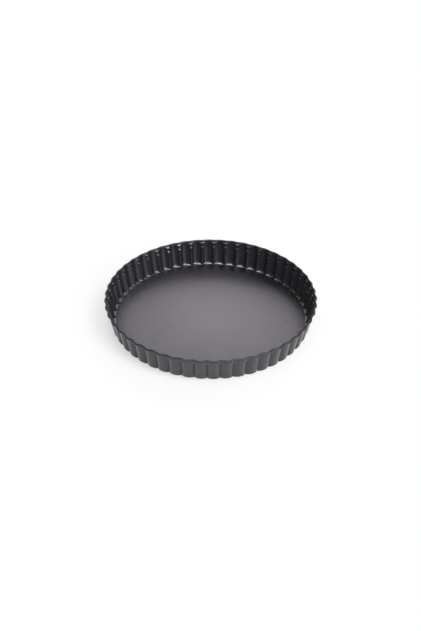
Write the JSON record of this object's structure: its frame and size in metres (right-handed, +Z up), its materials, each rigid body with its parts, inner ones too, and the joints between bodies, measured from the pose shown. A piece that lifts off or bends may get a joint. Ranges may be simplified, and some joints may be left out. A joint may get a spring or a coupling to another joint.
{
  "type": "cake pan",
  "caption": "Round fluted tart and cake pan in dark non-stick steel: a leaning fluted ring with a rolled rim and an inner ledge, and a flat loose base that pushes up and out.",
  "frame": {"origin": "on the pan's axis, on the plane that the ring stands on", "axes": "+Z up along the pan's axis, +X through the middle of a flute"},
  "size_m": [0.25, 0.2496, 0.0324],
  "materials": {
    "ring_coating": "semi-gloss dark grey non-stick coating",
    "base_coating": "satin metallic grey non-stick coating"
  },
  "bodies": {
    "ring": {"fluted_ring": "ring_coating"},
    "base": {"loose_base": "base_coating"}
  },
  "joints": [
    {"name": "base_lift", "type": "slide", "parent": "ring", "child": "base", "axis": [0, 0, 1], "range_m": [0, 0.045]}
  ]
}
